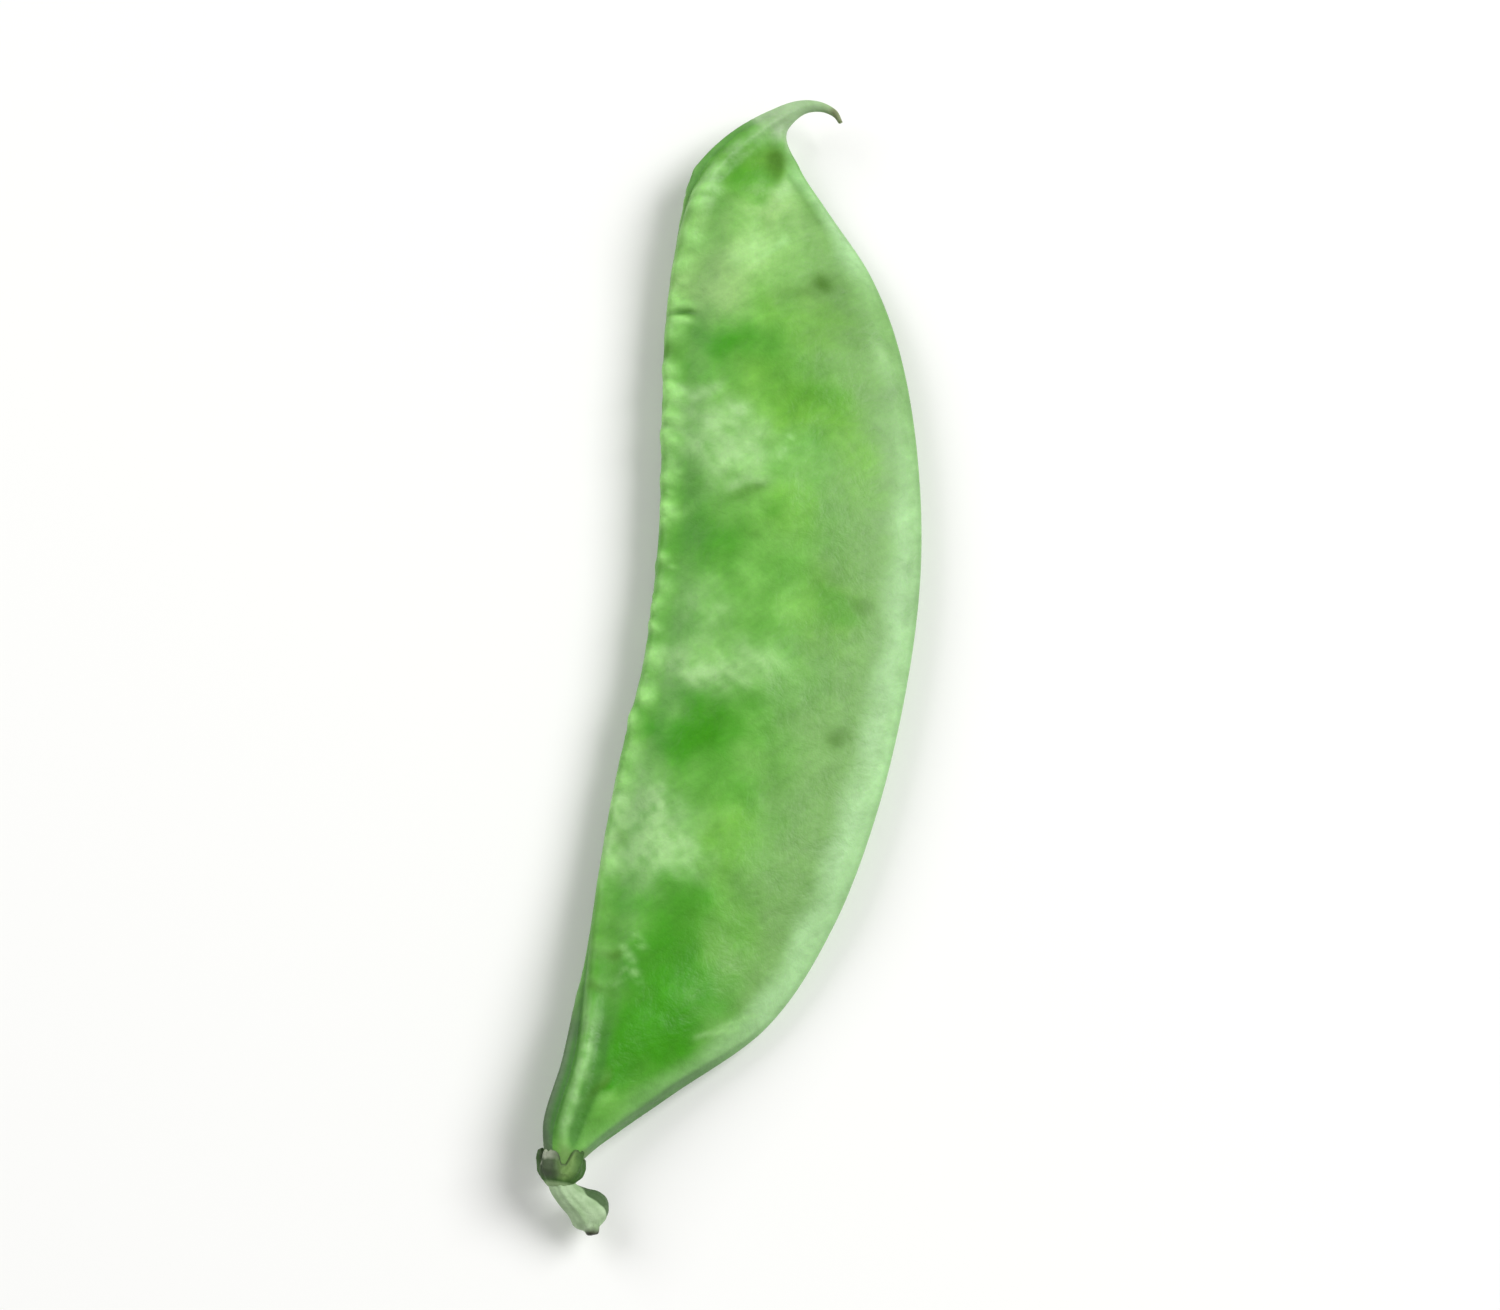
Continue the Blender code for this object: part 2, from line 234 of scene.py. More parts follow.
# Marks on the upper valve: distance along, share of the width, reach along and
# across in mm, lean of the mark (mm along for each mm across) and strength
UPPER_MARKS = {
    # light: painted highlight on the seed swellings
    "light": [
        (29.6, 0.20, 3.9, 4.0, 0.0, 0.80),
        (29.0, 0.28, 1.9, 1.5, 0.0, 0.70),
        (33.4, 0.10, 2.4, 2.2, -0.4, 0.55),
        (33.2, 0.15, 1.6, 0.5, -0.9, 0.60),
        (31.0, 0.09, 3.8, 2.0, 0.0, 0.72),
        (44.9, 0.27, 2.3, 5.2, 0.1, 0.80),
        (45.2, 0.42, 1.5, 1.9, 0.0, 0.35),
        (45.6, 0.11, 1.8, 1.6, 0.0, 0.40),
        (49.6, 0.20, 2.6, 3.4, 0.0, 0.30),
        (64.9, 0.26, 3.3, 4.2, 0.3, 0.80),
        (61.9, 0.33, 0.8, 1.4, 0.3, 0.60),
        (69.4, 0.15, 1.0, 1.0, 0.0, 0.60),
        (66.0, 0.11, 3.2, 2.0, 0.0, 0.55),
        (82.6, 0.36, 1.5, 1.8, 0.6, 0.45),
        (88.7, 0.65, 1.5, 1.4, 0.3, 0.65),
        (74.6, 0.92, 1.2, 0.9, 0.0, 0.45),
    ],
    "mellow": [
        (78.8, 0.14, 3.0, 4.4, 0.2, 0.80),
        (82.0, 0.34, 3.2, 5.0, 0.4, 0.75),
        (84.6, 0.08, 3.4, 2.6, 0.2, 0.45),
        (87.3, 0.55, 2.1, 2.9, 0.3, 0.90),
        (79.6, 0.62, 2.6, 2.0, 0.4, 0.35),
    ],
    # darker green, partly the skin's own tone and partly painted shade in the dips between the seeds
    "deep_tone_and_dip_shade": [
        (10.4, 0.44, 3.4, 2.8, 0.0, 0.95),
        (14.8, 0.43, 4.2, 5.0, 0.0, 1.0),
        (20.0, 0.38, 4.2, 3.8, 0.0, 0.85),
        (24.8, 0.36, 3.0, 3.4, -0.2, 0.62),
        (24.2, 0.17, 1.6, 1.5, 0.0, 0.45),
        (7.4, 0.35, 1.9, 0.7, 0.0, 0.90),
        (39.3, 0.27, 3.0, 4.4, 0.0, 0.95),
        (41.5, 0.20, 1.4, 1.6, 0.0, 0.30),
        (56.6, 0.19, 3.0, 3.8, 0.1, 0.66),
        (53.9, 0.46, 2.0, 3.4, 0.1, 0.24),
        (59.7, 0.45, 0.9, 1.3, 0.2, 0.45),
        (51.9, 0.71, 1.2, 2.0, 0.0, 0.34),
        (72.9, 0.27, 2.2, 3.0, 0.2, 0.78),
        (70.3, 0.62, 1.7, 3.0, 0.1, 0.34),
        (89.3, 0.38, 1.6, 1.5, 0.3, 0.55),
        (91.0, 0.52, 1.5, 1.2, 0.3, 0.35),
        (35.4, 0.48, 2.2, 3.0, 0.0, 0.38),
    ],
    "yellow": [
        (69.2, 0.54, 3.0, 5.2, 0.1, 0.95),
        (31.0, 0.48, 3.8, 2.3, 0.0, 0.58),
        (66.0, 0.78, 4.0, 2.4, 0.0, 0.45),
        (76.8, 0.60, 2.8, 4.4, 0.2, 0.60),
        (91.6, 0.55, 2.2, 2.2, 0.4, 1.0),
        (89.4, 0.39, 2.0, 2.0, 0.3, 1.0),
        (60.2, 0.50, 2.2, 2.4, 0.2, 0.55),
        (52.0, 0.66, 3.4, 3.2, 0.0, 0.50),
        (22.0, 0.58, 4.0, 2.6, 0.0, 0.30),
    ],
    "dark": [
        (41.2, 0.80, 0.9, 0.8, 0.2, 0.48),
        (81.1, 0.72, 0.9, 1.3, 0.4, 0.80),
        (79.4, 0.60, 0.7, 1.5, 0.3, 0.36),
        (60.9, 0.36, 0.55, 1.3, 0.5, 0.42),
        (19.4, 0.13, 0.5, 0.7, 0.3, 0.60),
        (16.4, 0.08, 0.6, 0.7, 0.0, 0.50),
        (92.1, 0.62, 1.8, 1.3, 0.4, 0.85),
        (78.6, 0.72, 3.2, 3.2, 0.0, 0.26),
        (20.0, 0.05, 4.0, 1.6, 0.0, 0.20),
        (85.6, 0.48, 0.9, 0.9, 0.0, 0.25),
        (52.8, 0.80, 0.7, 0.9, 0.0, 0.35),
        (56.9, 0.36, 0.5, 0.9, 0.0, 0.25),
        (29.6, 0.08, 0.8, 0.6, 0.0, 0.30),
        # a dark spot on the ventral seam, partly a painted shadow of a neighbouring pod
        (72.2, 0.02, 0.7, 0.7, 0.0, 0.40),
        (7.4, 0.35, 1.9, 0.45, 0.0, 0.60),
    ],
}

PATCH_FULLNESS = 1.2  # above 1, a mark is flat in its middle and steeper at its edge

# Marks on the valve below, strewn by chance: kind, how far past a seed, and strength. The light ones, a
# painted highlight, lie on the seeds, and the deep ones, partly painted shade, lie between them
LOWER_MARK_KINDS = [("light", 0.0, 0.8), ("deep_tone_and_dip_shade", 7.5, 0.85), ("yellow", 5.0, 0.7)]
LOWER_MARK_STRAY = 2.0
LOWER_MARK_REACHES = ((1.4, 3.2), (1.4, 3.6))  # along and across
LOWER_MARK_SHARE = (0.2, 0.55)
LOWER_MARK_LEAN = (-0.5, 0.8)
LOWER_MARK_VARIETY = (0.6, 1.1)  # factor of its strength
LOWER_MARKS_SEED = 33

# And a dark spot near each seed
LOWER_SPOT_STRAY = 7.0
LOWER_SPOT_SIZE = (0.4, 0.8)
LOWER_SPOT_SHARE = (0.15, 0.85)
LOWER_SPOT_STRENGTH = 0.5

# Irregular waves that break up the marks: height, length in mm and seed of each
MARK_WAVES = {
    "stray_along": [(0.9, 7.0, 51), (0.5, 2.6, 52)],
    "stray_across": [(0.9, 6.0, 53), (0.4, 2.2, 54)],
    "pale_cord_and_highlight": [(0.45, 5.0, 55)],
    "dry": [(0.4, 1.5, 56)],
    "tip": [(0.3, 1.2, 57)],
    "neck": [(0.5, 2.4, 58)],
    "ridge": [(0.45, 2.6, 59), (0.25, 1.1, 60)],
    "light": [(0.30, 2.4, 61), (0.22, 1.0, 62)],
    "scratch": [(0.55, 1.1, 63)],
}
DARK_STRAY = 0.35  # the dark marks stray this much as far as the others

# Where along the pod the looks of its two ends begin and end
STEM_END = (10.0, 18.0)
BEAK_STRETCH = ((85.0, 88.5), (97.0, 99.5))
NECK_END = (0.4, 2.2)
DRY_START = (93.0, 95.8)
TIP_START = (99.3, 101.2)

# The bloom, the wax's grey tone with a painted satin sheen, deepens towards the dorsal seam over these
# shares of the width
BLOOM_AND_SHEEN_ACROSS = (0.44, 0.84)
BLOOM_AND_SHEEN_STRETCH = ((10.0, 20.0), (86.0, 92.0))

# How strong the pale tone and painted highlight on the cord of the dorsal seam are: distance along, and
# share
CORD_PALE_AND_HIGHLIGHT = [
    (2.0, 0.1),
    (10.0, 0.3),
    (17.0, 0.8),
    (24.0, 1.0),
    (45.0, 0.85),
    (58.0, 0.75),
    (67.0, 0.45),
    (76.0, 0.2),
    (81.0, 0.25),
    (86.0, 0.95),
    (89.0, 0.8),
    (92.0, 0.5),
    (96.0, 0.0),
]
CORD_PALE_AND_HIGHLIGHT_WIDTH = 2.3
CORD_PALE_AND_HIGHLIGHT_EDGE = (1.5, 1.1)  # it fades from this far inside that width to this far outside
CORD_NARROWS = 0.8  # and is this much narrower past this stretch
CORD_NARROWS_OVER = (84.0, 88.0)

# A thin painted shade inside the cord by the beak, laid into the dark tint: distance from the edge, reach
# and strength
CORD_SHADE = (1.9, 0.45, 0.22)
CORD_SHADE_STRETCH = ((86.0, 88.0), (91.0, 92.5))

# The outer strip of the band, which shows where the seam turns up, gets painted shade that fades over
# these distances from the groove
OUTER_STRIP_SHADE = (1.4, 2.6)

# The painted shade in the furrows beside the groove is this strong, and stronger before this stretch
FURROW_SHADE = 0.5
STEM_FURROW_SHADE = 0.7
STEM_FURROW_END = (9.0, 15.0)

# Scratches in the bloom of the upper valve: both ends, as distance along and share.
# Each is strongest at its second end.
SCRATCHES = [
    ((16.9, 0.15), (18.2, 0.20)),
    ((20.2, 0.16), (19.2, 0.22)),
    ((17.6, 0.27), (18.3, 0.24)),
    ((21.4, 0.21), (20.7, 0.25)),
    ((15.6, 0.80), (17.0, 0.90)),
    ((14.2, 0.73), (15.6, 0.88)),
    ((81.6, 0.38), (84.6, 0.58)),
    ((64.2, 0.47), (66.0, 0.51)),
]
SCRATCH_REACH = 0.36

# Calyx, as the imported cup, but grown onto the stalk and the neck: a turned
# section, and the rise of its five lobes, from the dorsal one over the upper side
CALYX_SECTION = [
    (0.0, -1.55),
    (0.85, -1.55),
    (1.1, -1.35),
    (1.4, -1.0),
    (1.8, -0.45),
    (2.0, 0.2),
    (1.98, 0.8),
    (1.8, 0.95),
    (1.55, 0.8),
    (1.42, 0.4),
    (1.3, 0.15),
    (0.0, 0.05),
]
CALYX_SIDES = 120
CALYX_CUTS = 5  # in each edge of the section
CALYX_TILT = math.radians(4.0)  # towards the ventral side
LOBE_TURN = math.radians(-8.0)
LOBE_RISES = (0.10, 0.60, 0.25, 0.45, 0.50)
LOBE_BULGES = (0.05, 0.04, 0.17, 0.05, 0.05)
LOBE_NOTCHES = (0.10, 0.65, 0.40, 0.60, 0.50)  # depth of the notch after each lobe
NOTCH_DENT = 0.06
LOBE_HUG = 0.20  # the rim is this much flatter than round, like the neck that it holds
LOBE_BLUNT = (0.05, 0.62)  # a lobe rises from its notch over these shares of a wave

# The torn rim's ripples: height, how many there are round it, and turn. Then the wrinkles:
# how many there are round the cup, how they lean, and the waves that mix with them.
TORN_RIM = [(0.06, 17, 0.0), (0.05, 29, 1.0)]
WRINKLE_HEIGHT = 0.04
WRINKLE_COUNT = 13
WRINKLE_LEAN = 3
WRINKLE_LENGTH = 1.4
WRINKLE_SEED = 71

# How high up the cup, along its axis, each of its changes comes in
LOBE_LEVELS = (-1.0, 0.95)
BULGE_LEVELS = (-1.55, -0.5)
HUG_LEVELS = (-0.6, 0.5)
WALL_LEVELS = (-1.3, -0.6)
PALE_LEVELS = (-1.5, -1.0)
# the pale grey on the dry lobe is a painted highlight
DRY_LOBE_HIGHLIGHT_LEVELS = (0.15, 0.5)
DRY_RIM_LEVELS = (0.6, 0.95)
DRY_RIM = 0.5

# Where the driest lobe and the olive notch are, round the calyx, and how far they reach
DRY_LOBE = math.radians(148.0)
DRY_REACH = 0.75
# reach of the painted highlight on the dry lobe
DRY_LOBE_HIGHLIGHT_REACH = 0.42
OLIVE_NOTCH = math.radians(97.0)
OLIVE_REACH = 0.42

# Stalk: points on its middle line in the calyx's frame, and its radius there
STALK = [
    ((0.00, -0.90, 0.00), 1.00),
    ((0.42, -1.55, 0.00), 1.02),
    ((1.15, -2.08, -0.10), 1.12),
    ((2.00, -2.45, -0.20), 1.34),
    ((2.70, -2.75, -0.28), 1.66),
    ((3.10, -2.95, -0.33), 1.74),
]
STALK_END_LENGTH = 1.5  # how far its round end reaches past the last of these
STALK_RINGS, STALK_SIDES = 150, 90
STALK_END_RINGS = 24  # close each end of the stalk
STALK_STEP = 0.05  # in points of the middle line, to find its direction

# Ribs of the stalk: height as a share of its radius, count, and twist from point to point
STALK_RIBS = [(0.03, 7, 0.6), (0.025, 12, 1.3)]

# The swollen end, and the short dark stub where it broke from the flower stem
KNOB = Vector((3.05, -2.95, -0.32))
SCAR = KNOB + Vector((0.30, -1.60, 0.60))
SCAR_SHAPE = (1.0, 0.8, 1.0)  # it is drawn out where this is below 1
SCAR_REACH = (0.38, 0.80)
SCAR_HEIGHT = 0.5
SCAR_DEPTH = 0.18  # of the pit in the stub's end
SCAR_RAGGED = 0.10
SCAR_RAGGED_LENGTH = 0.55
SCAR_SEED = 83

# The painted shade along the upper side of the swollen end: its direction, how far round and along the
# stalk it comes in, how high it reaches, how much higher at its middle, and how soft its top is
KNOB_SHADE_WAY = (0.3, 0.95)
KNOB_SHADE_ROUND = (-0.1, 0.4)
KNOB_SHADE_ALONG = (1.4, 2.4)
KNOB_SHADE_TOP = 0.95
KNOB_SHADE_TOP_RISE = 0.65
KNOB_SHADE_MIDDLE = (0.3, 0.9)
KNOB_SHADE_SOFT = 0.3

# Camera: the photograph's angle, nearer
IMAGE_SIZE = (1500, 1310)
CAMERA_ELEVATION = math.radians(77.0)
CAMERA_TURN = math.radians(11.5)  # the pod leans this much to the right in the picture
CAMERA_AIM = Vector((0.0, -0.0018, 0.003))  # metres from the middle of the solid, on the floor
POD_SHARE = 0.86  # of the picture's height
LENS = 100.0

# Light: an even pale sky and two soft boxes, with their places in metres
FLOOR_REACH = 1.5
SKY_STRENGTH = 0.32
SOFT_BOXES = [
    ("softbox_right", (0.75, 0.45, 0.95), 0.7, 14.0),
    ("softbox_left", (-0.85, 0.35, 0.85), 0.8, 6.0),
]

# Noises of the three skins: size of the blotches in mm, detail, roughness and distortion
POD_NOISES = {
    "broad": (4.0, 3.0, 0.55, 0.0),
    "cloudy": (2.2, 3.0, 0.5, 0.4),
    "patchy": (1.1, 4.0, 0.6, 0.3),
    "grain": (0.35, 2.0, 0.6, 0.0),
}
CALYX_NOISES = {"patchy": (0.8, 3.0, 0.6, 0.0), "fine": (0.2, 3.0, 0.7, 0.0)}
STALK_NOISES = {"patchy": (0.9, 3.0, 0.6, 0.0), "fine": (0.22, 3.0, 0.7, 0.0)}

# What several nodes share: the range of a noise, as inputs of a Map Range, the settings and
# output of a Mix of two colours, and the sum of a product and a third value
NOISE_RANGE = {1: 0.3, 2: 0.7}
COLOUR_MIX = {"data_type": "RGBA", "give": 2}
MULTIPLY_ADD = {"operation": "MULTIPLY_ADD"}

# The base of each skin, and the layers over it: noise, its value where the layer begins and
# where it is full, how much of it shows at most, and its albedo
POD_BASE = "5ea43a"
POD_LAYERS = [
    ("broad", 0.36, 0.64, 1.00, "72b24c"),
    ("cloudy", 0.52, 0.68, 0.30, "8cc668"),
    ("cloudy", 0.48, 0.32, 0.30, "4f9a26"),
]
CALYX_BASE = "31581a"
CALYX_LAYERS = [("patchy", 0.35, 0.65, 1.00, "41682a")]
STALK_BASE = "93b182"
STALK_LAYERS = [("patchy", 0.35, 0.65, 1.00, "b3cda3")]

# How much each noise darkens and lightens the pod, as factors of its colour
POD_SHADES = [
    ("patchy", 0.93, 1.07),
    ("grain", 0.95, 1.05),
    ("veins", 0.95, 1.05),
    ("cloudy", 0.92, 1.08),
]

# Veins of the pod: noise drawn out aslant from the ventral seam, in mm over the skin
VEIN_LEAN = -0.9
VEIN_SKEW = 0.25
VEIN_STRETCH = 0.22
VEIN_SCALE = 1.1

# Tints of the skins, laid over one another: mark, albedo, how much of it shows at most,
# and how ragged it is. An edge says at which amounts of a mark its tint begins and is full.
POD_TINT_EDGE = (0.0, 0.92)
MATT_TINT_EDGE = (0.1, 0.9)
CALYX_TINTS = [
    ("olive", "739650", 1.00, 0.25),
    ("pale", "93b07c", 1.00, 0.20),
    ("dry", "46553b", 1.00, 0.25),
    # painted highlight on the dry lobe
    ("grey", "99a18b", 1.00, 0.20),
]
# painted shade along the upper side of the swollen end, and the dark scar
STALK_TINTS = [("knob_shade", "48633b", 1.00, 0.30), ("scar", "3a3f2c", 1.00, 0.30)]
POD_TINTS = [
    # the wax bloom's grey tone with a painted satin sheen
    ("bloom_and_sheen", "77a55b", 0.90, 0.20),
    ("yellow", "6fb036", 0.85, 0.30),
    ("mellow", "9dca79", 0.95, 0.16),
    # painted highlight on the seed swellings
    ("light", "a0d085", 1.00, 0.18),
    # darker green: partly the skin's own tone, partly painted shade in the dips between the seeds
    ("deep_tone_and_dip_shade", "3b9107", 1.00, 0.16),
    # the cord's pale tone with a painted highlight where it rolls towards the light
    ("pale_cord_and_highlight", "a3cf92", 0.94, 0.15),
    # painted shade on the band's outer strip by the stem
    ("below", "5a7052", 1.00, 0.15),
    # painted shade on the band's outer strip by the beak
    ("beak_strip_shade", "5d9545", 0.85, 0.25),
    # painted shade in the groove and furrows
    ("groove", "3c7628", 0.75, 0.20),
    # painted highlight on the upper ridge near both ends
    ("ridge", "88ba70", 1.00, 0.15),
    # painted highlight on the tops of the warts and on the crease's lips
    ("bead_highlight", "9bd77a", 0.85, 0.15),
    ("dark", "3f6e12", 0.95, 0.15),
    ("scratch", "9bd080", 0.75, 0.50),
    # the dorsal edge's dark line: the seam's own dark tone with painted shade
    ("edge", "5c8350", 0.85, 0.20),
    # painted shade in the crease by the beak
    ("crease", "3f7426", 0.85, 0.10),
    ("dry", "a3be94", 0.85, 0.25),
    ("tip", "6f6f4e", 0.80, 0.30),
    ("neck", "6f9150", 0.75, 0.20),
]


def spline(knots, where):
    """The smooth curve through knots [(distance, value)] at each distance, as a Catmull-Rom curve."""
    places, values = np.array(knots, float).T
    numbers = np.arange(len(places))
    before = np.maximum(numbers - 1, 0)
    after = np.minimum(numbers + 1, len(places) - 1)
    slopes = (values[after] - values[before]) / (places[after] - places[before])
    where = np.clip(where, places[0], places[-1])
    i = np.clip(np.searchsorted(places, where, side="right") - 1, 0, len(places) - 2)
    span = places[i + 1] - places[i]
    t = (where - places[i]) / span
    return (
        (2 * t**3 - 3 * t**2 + 1) * values[i]
        + (t**3 - 2 * t**2 + t) * span * slopes[i]
        + (3 * t**2 - 2 * t**3) * values[i + 1]
        + (t**3 - t**2) * span * slopes[i + 1]
    )


def bump(distance, reach):
    """A smooth hump of height 1 that is spent a little past its reach."""
    return np.exp(-((distance / reach) ** 2))


def ease(low, high, value):
    """0 below low, 1 above high, and smooth between."""
    t = np.clip((value - low) / (high - low), 0.0, 1.0)
    return t * t * (3 - 2 * t)


def between(start, end, value):
    """0 outside, 1 inside, rising over the stretch start and falling over the stretch end."""
    return ease(*start, value) * (1 - ease(*end, value))


def waves(x, y, z, length, seed):
    """Irregular smooth waves of about this length in mm, mostly between -1 and 1."""
    draw = random.Random(seed)
    total = 0.0
    for _ in range(WAVE_COUNT):
        way = Vector((draw.gauss(0, 1), draw.gauss(0, 1), draw.gauss(0, 1))).normalized()
        pace = math.tau / length * draw.uniform(1 - WAVE_VARIETY, 1 + WAVE_VARIETY)
        total = total + np.sin(pace * (way.x * x + way.y * y + way.z * z) + draw.uniform(0, math.tau))
    return total / math.sqrt(WAVE_COUNT) * WAVE_SCALE


def seam_lines():
    """Both seams as knots along the middle line, and that line's length."""
    middles = [(Vector(v) + Vector(d)) / 2 for v, d in SEAM_PAIRS]
    along = [0.0]
    for a, b in zip(middles, middles[1:]):
        along.append(along[-1] + (b - a).length)
    seams = [
        [[(s, pair[side][axis]) for s, pair in zip(along, SEAM_PAIRS)] for axis in (0, 1)]
        for side in (0, 1)
    ]
    return seams, along[-1]


SEAMS, MIDDLE_LENGTH = seam_lines()


def swelling(along, across, width):
    """How far the seeds push a valve out."""
    aside = bump(across - SEED_PLACE * width, SEED_REACH_ACROSS)
    out = 0.0
    for place, height in SEEDS:
        out = out + height * bump(along - place, SEED_REACH_ALONG) * aside
    for (a, _), (b, _) in zip(SEEDS[1:], SEEDS[2:]):
        out = out - DIP_DEPTH * bump(along - (a + b) / 2, DIP_REACH) * aside
    return out


def crest_angle(half, width):
    """The angle from the ventral seam, round a section, to the crest of a ridge."""
    thick, wide = half**2, (width / 2) ** 2
    reach = RIDGE_FROM_SEAM**2
    root = np.sqrt(np.maximum(thick**2 + (wide - thick) * reach, 0.0))
    return np.arccos(np.clip((wide + thick - reach) / (wide + root), math.cos(WIDEST_CREST), 1.0))


def warts(along, from_crest, side):
    """Height of the warts on the ridges. from_crest is the distance over the skin from the crest."""
    out = np.zeros(from_crest.shape)
    for ridge in (1, -1):
        draw = random.Random(WART_SEED + ridge)
        for pitch, low, high, thin, thick, aside in WART_KINDS:
            for i in range(round(MIDDLE_LENGTH / pitch)):
                place = (i + 0.5 + draw.uniform(-WART_STRAY, WART_STRAY)) * pitch
                height = draw.uniform(low, high)
                radius = draw.uniform(thin, thick)
                breadth = draw.uniform(*WART_BREADTH) * radius
                off = draw.uniform(-aside, aside)
                near = np.abs(along[:, 0] - place) < 3 * radius
                lean = draw.uniform(-WART_LEAN, WART_LEAN)
                across = from_crest[near] - off
                hump = bump(along[near] - place - lean * across, radius) * bump(across, breadth)
                out[near] = np.maximum(out[near], height * hump * (side[near] == ridge))
    return out * np.clip(spline(WARTY, along), 0.0, 1.0)


def lower_marks():
    """Marks of the same kinds for the valve below, strewn by chance over and between its seeds."""
    draw = random.Random(LOWER_MARKS_SEED)
    marks = {kind: [] for kind in UPPER_MARKS}
    marks["mellow"] = list(UPPER_MARKS["mellow"])
    for place, _ in SEEDS:
        for kind, offset, strength in LOWER_MARK_KINDS:
            for _ in range(2):
                along = place + offset + draw.uniform(-LOWER_MARK_STRAY, LOWER_MARK_STRAY)
                reach = [draw.uniform(*sizes) for sizes in LOWER_MARK_REACHES]
                share = draw.uniform(*LOWER_MARK_SHARE)
                lean = draw.uniform(*LOWER_MARK_LEAN)
                shows = strength * draw.uniform(*LOWER_MARK_VARIETY)
                marks[kind].append((along, share, *reach, lean, shows))
        size = draw.uniform(*LOWER_SPOT_SIZE)
        along = place + draw.uniform(-LOWER_SPOT_STRAY, LOWER_SPOT_STRAY)
        share = draw.uniform(*LOWER_SPOT_SHARE)
        marks["dark"].append((along, share, size, size, 0.0, LOWER_SPOT_STRENGTH))
    return marks


def patches(kinds, along, share, width):
    """Soft patches of these places and sizes, which add up where they overlap."""
    bare = 1.0
    for place, where, reach_along, reach_across, lean, strength in kinds:
        across = (share - where) * width
        far = ((along - place - lean * across) / reach_along) ** 2 + (across / reach_across) ** 2
        bare = bare * (1 - strength * np.exp(-(far**PATCH_FULLNESS)))
    return 1 - bare


def scratched(along, across, width):
    """1 along the scratches, 0 elsewhere."""
    out = 0.0
    for (s0, w0), (s1, w1) in SCRATCHES:
        a0, a1 = w0 * width, w1 * width
        run = (s1 - s0, a1 - a0)
        length = run[0] ** 2 + run[1] ** 2
        t = np.clip(((along - s0) * run[0] + (across - a0) * run[1]) / length, 0, 1)
        away = np.hypot(along - s0 - t * run[0], across - a0 - t * run[1])
        out = np.maximum(out, bump(away, SCRATCH_REACH) * (0.5 + 0.5 * t))
    return out


def ruffled(mark, places):
    """The irregular waves of a mark at each point."""
    return sum(height * waves(*places, length, seed) for height, length, seed in MARK_WAVES[mark])


